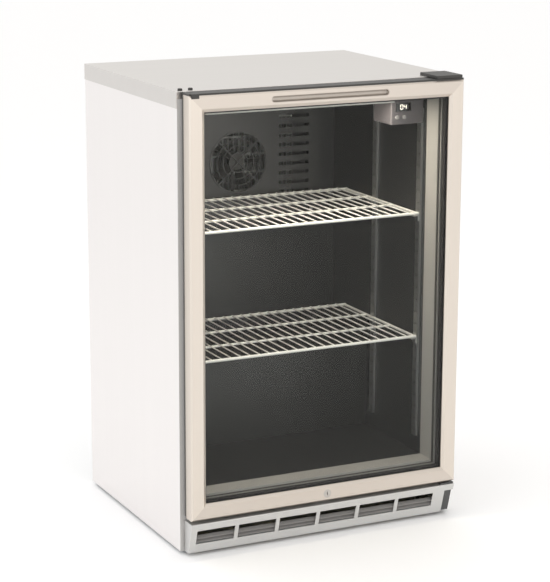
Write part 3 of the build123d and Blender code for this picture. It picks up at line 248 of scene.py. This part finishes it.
# The rails and stiles are one brushed steel. The rails are painted darker and the stiles lighter:
# painted shade and painted highlight for how the grain, across or upright, catches the light.
DOOR_RAIL_SHADED = (0.63, 0.568, 0.508)
DOOR_STILE_LIT = (0.71, 0.645, 0.575)
LOOKS = {
    # The worktop is painted darker than the sides' steel: painted shade for its top facing a darker
    # room above.
    "worktop_steel": brushed("worktop steel painted shade", (0.665, 0.642, 0.617), "X", 0.34),
    "side_steel": brushed("side steel", (0.855, 0.828, 0.815), "Z", 0.40, 0.02),
    "door_steel": brushed("door steel rails painted shade", DOOR_RAIL_SHADED, "X", 0.36),
    "galvanised": galvanised("galvanised sheet", (0.55, 0.57, 0.58)),
    "frame_paint": painted("front frame paint", (0.50, 0.49, 0.475)),
    "throat_plastic": moulded("throat plastic", (0.44, 0.427, 0.41), 0.42),
    "liner_alu": stucco("liner sheet", (0.09, 0.09, 0.092)),
    "foam": foam("foam", (0.72, 0.62, 0.36)),
    "white_wire": painted("white coated wire", (0.94, 0.935, 0.91), 0.25, 0.5, 300.0, Coat_Weight=0.4),
    "support_alu": brushed("shelf support", (0.62, 0.62, 0.61), "Z", 0.35),
    "lamp_body": painted("lamp body", (0.75, 0.75, 0.73)),
    "lamp_light": lit("lamp diffuser", WARM_LAMP, 2.5),
    "control_plastic": moulded("control plastic", (0.10, 0.094, 0.104), 0.42),
    "display": moulded("display window", (0.012, 0.012, 0.014), 0.12, 0.05, Coat_Weight=0.6),
    "button_plastic": moulded("button plastic", (0.25, 0.25, 0.26), 0.4),
    "fan_plastic": moulded("fan plastic", (0.03, 0.03, 0.03), 0.45),
    "motor_black": painted("motor paint", (0.035, 0.035, 0.037), 0.4),
    "fin_alu": brushed("fin aluminium", (0.68, 0.69, 0.70), "Z", 0.38),
    "compressor_black": painted("compressor enamel", (0.018, 0.018, 0.018), 0.25, 0.6, 200.0,
                                Coat_Weight=0.5),
    "rubber_black": moulded("gasket rubber", (0.10, 0.096, 0.09), 0.62, 0.25),
    "copper": copper("copper tube"),
    "tray_plastic": moulded("tray plastic", (0.11, 0.11, 0.11), 0.55),
    "gland_plastic": moulded("black nylon", (0.036, 0.034, 0.031), 0.48),
    "plinth_paint": painted("plinth paint", (0.60, 0.595, 0.58), 0.36, Metallic=0.6),
    # The louvres are painted at about half the plinth paint's tone: painted shade inside the vents.
    "louvre_dark": painted("louvre painted shade", (0.30, 0.29, 0.28), 0.5),
    "bracket_steel": galvanised("zinc plate", (0.40, 0.40, 0.41)),
    # Near black: the pin collar's own dark finish, and painted shade for the pocket under the lower
    # hinge at the plinth's right end.
    "bracket_dark": painted("bracket paint and painted shade", (0.07, 0.07, 0.07), 0.5),
    "screw_steel": brushed("screw steel", (0.62, 0.62, 0.62), "X", 0.3),
    "inner_frame_plastic": moulded("inner frame plastic", (0.30, 0.295, 0.285), 0.5),
    "door_glass": glass("door glass"),
    # The spacer is black. Its dark band is also painted shade along the inner lip of the rails and
    # stiles.
    "spacer_black": moulded("spacer", (0.03, 0.028, 0.028), 0.55),
    "grip_metal": brushed("grip", (0.50, 0.455, 0.41), "X", 0.5),
    "lock_metal": brushed("lock", (0.52, 0.49, 0.46), "X", 0.3),
    "foot_plastic": moulded("foot plastic", (0.03, 0.03, 0.03), 0.6),
}
# The stiles' copy of the door steel, painted lighter as a painted highlight.
STILE_LIT = brushed("door steel stiles painted highlight", DOOR_STILE_LIT, "Z", 0.36)


def dress(node, look):
    """Gives a CAD node's object a better material, slot by slot."""
    for slot in nodes[node].material_slots:
        slot.material = look.material


for part in frame["record"]["subparts"]:
    dress(part["node"], LOOKS[part["material_slot"]])
for stile in ("door_stile_left", "door_stile_right"):
    dress(stile, STILE_LIT)


# ---------------------------------------------------------------- digits on the controller's display
DIGIT_H = 9.0 * MM
DIGIT_W = 5.2 * MM
STROKE = 1.0 * MM
BAR_TRIM = 0.15 * STROKE
DIGIT_GAP = 2.6 * MM
DIGIT_PROUD = 0.25 * MM
SEGMENTS = {"0": "abcdef", "4": "bcfg"}


def segment_line(letter):
    """The two ends of a seven-segment bar, in digit widths and heights."""
    ends = {"a": ((0, 2), (1, 2)), "b": ((1, 2), (1, 1)), "c": ((1, 1), (1, 0)), "d": ((0, 0), (1, 0)),
            "e": ((0, 1), (0, 0)), "f": ((0, 2), (0, 1)), "g": ((0, 1), (1, 1))}
    return [Vector((x * DIGIT_W, z * DIGIT_H / 2)) for x, z in ends[letter]]


def add_bar(form, start, end, front, back):
    """A six-sided bar with pointed ends between two points of the display's plane."""
    along = (end - start).normalized()
    across = Vector((-along.y, along.x)) * STROKE / 2
    start, end = start + along * BAR_TRIM, end - along * BAR_TRIM
    inner, outer = start + along * STROKE / 2, end - along * STROKE / 2
    outline = [start, inner - across, outer - across, end, outer + across, inner + across]
    near = [form.verts.new((point.x, front, point.y)) for point in outline]
    far = [form.verts.new((point.x, back, point.y)) for point in outline]
    form.faces.new(near)
    form.faces.new(far[::-1])
    for n in range(len(outline)):
        m = (n + 1) % len(outline)
        form.faces.new((near[n], far[n], far[m], near[m]))


def make_digits(text):
    """The digits, centred on the display window and standing just proud of it."""
    low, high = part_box("controller_display")
    width = len(text) * DIGIT_W + (len(text) - 1) * DIGIT_GAP
    left = (low.x + high.x - width) / 2
    foot = (low.z + high.z - DIGIT_H) / 2
    form = bmesh.new()
    for place, digit in enumerate(text):
        corner = Vector((left + place * (DIGIT_W + DIGIT_GAP), foot))
        for letter in SEGMENTS[digit]:
            start, end = segment_line(letter)
            add_bar(form, corner + start, corner + end, low.y - DIGIT_PROUD, low.y)
    bmesh.ops.recalc_face_normals(form, faces=form.faces)
    mesh = bpy.data.meshes.new("display_digits")
    form.to_mesh(mesh)
    form.free()
    digits = bpy.data.objects.new("display_digits", mesh)
    bpy.context.scene.collection.objects.link(digits)
    mesh.materials.append(lit("display digits", (1.0, 0.93, 0.84), 1.6).material)
    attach(digits, "cabinet")


make_digits("04")


# ---------------------------------------------------------------- floor, light and camera
FLOOR_REACH = 60.0
WORLD_BRIGHT = (1.16, 1.16, 1.17, 1.0)
WORLD_WARM = (0.93, 0.915, 0.89, 1.0)
CAMERA_PLACE = Vector((-1.745, -3.578, 1.388))
CAMERA_HEADING, CAMERA_DIP, CAMERA_ROLL = 26.12, 13.29, 0.21
CAMERA_LENS = 123.7


def make_floor():
    """A white floor that reaches the horizon."""
    mesh = bpy.data.meshes.new("floor")
    form = bmesh.new()
    bmesh.ops.create_grid(form, x_segments=8, y_segments=8, size=FLOOR_REACH)
    form.to_mesh(mesh)
    form.free()
    floor = bpy.data.objects.new("floor", mesh)
    bpy.context.scene.collection.objects.link(floor)
    mesh.materials.append(Look("floor", (0.96, 0.96, 0.96), 0.7).material)


def make_world():
    """Pale studio: brightest to the left, a little darker and warmer to the right."""
    world = bpy.data.worlds.new("studio")
    world.use_nodes = True
    tree = world.node_tree
    background = tree.nodes["Background"]
    aim = tree.nodes.new("ShaderNodeTexCoord")
    split = tree.nodes.new("ShaderNodeSeparateXYZ")
    side = tree.nodes.new("ShaderNodeMapRange")
    ramp = tree.nodes.new("ShaderNodeMix")
    ramp.data_type = "RGBA"
    side.inputs["From Min"].default_value = -0.6
    side.inputs["From Max"].default_value = 0.6
    ramp.inputs[MIX_FIRST].default_value = WORLD_BRIGHT
    ramp.inputs[MIX_SECOND].default_value = WORLD_WARM
    tree.links.new(aim.outputs["Generated"], split.inputs[0])
    tree.links.new(split.outputs["X"], side.inputs["Value"])
    tree.links.new(side.outputs["Result"], ramp.inputs[MIX_SHARE])
    tree.links.new(ramp.outputs[MIX_RESULT], background.inputs["Color"])
    bpy.context.scene.world = world


def make_panel_light(name, place, aim, size, power, colour=(1.0, 1.0, 1.0)):
    """A rectangular softbox at a place, turned to face a point."""
    data = bpy.data.lights.new(name, "AREA")
    data.shape = "RECTANGLE"
    data.size, data.size_y = size
    data.energy = power
    data.color = colour
    light = bpy.data.objects.new(name, data)
    light.location = place
    light.rotation_mode = "QUATERNION"
    light.rotation_quaternion = (Vector(place) - Vector(aim)).to_track_quat("Z", "Y")
    bpy.context.scene.collection.objects.link(light)


def make_cabin_lamp(power):
    """The light of the fridge's own lamp, shining down from just below its diffuser."""
    low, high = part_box("lamp_diffuser")
    place = Vector(((low.x + high.x) / 2, (low.y + high.y) / 2, low.z - 1.0 * MM))
    size = (high.x - low.x, high.y - low.y)
    make_panel_light("cabin_lamp", place, place - Vector((0, 0, 1)), size, power, (1.0, 0.90, 0.76))


def make_camera():
    """Heading is from +Y towards +X and dip is below level, both in degrees, as is roll."""
    yaw, down, lean = (math.radians(angle) for angle in (CAMERA_HEADING, CAMERA_DIP, CAMERA_ROLL))
    forward = Vector((math.sin(yaw) * math.cos(down), math.cos(yaw) * math.cos(down), -math.sin(down)))
    level = Vector((math.cos(yaw), -math.sin(yaw), 0.0))
    upward = level.cross(forward)
    right = level * math.cos(lean) + upward * math.sin(lean)
    up = right.cross(forward)
    data = bpy.data.cameras.new("camera")
    data.lens = CAMERA_LENS
    camera = bpy.data.objects.new("camera", data)
    axes = Matrix((right, up, -forward)).transposed()
    camera.matrix_world = Matrix.Translation(CAMERA_PLACE) @ axes.to_4x4()
    bpy.context.scene.collection.objects.link(camera)
    bpy.context.scene.camera = camera


make_floor()
make_world()
middle = (cad_low + cad_high) / 2
make_panel_light("left_softbox", (-3.2, -1.2, 1.6), middle, (2.2, 2.2), 10.0)
make_panel_light("front_softbox", (0.9, -3.4, 1.5), middle, (2.4, 1.6), 12.0, (1.0, 0.97, 0.94))
make_panel_light("top_softbox", (0.0, 0.5, 3.2), middle, (2.6, 2.6), 10.0)
make_cabin_lamp(1.9)
make_camera()
bpy.context.scene.view_settings.view_transform = "Standard"
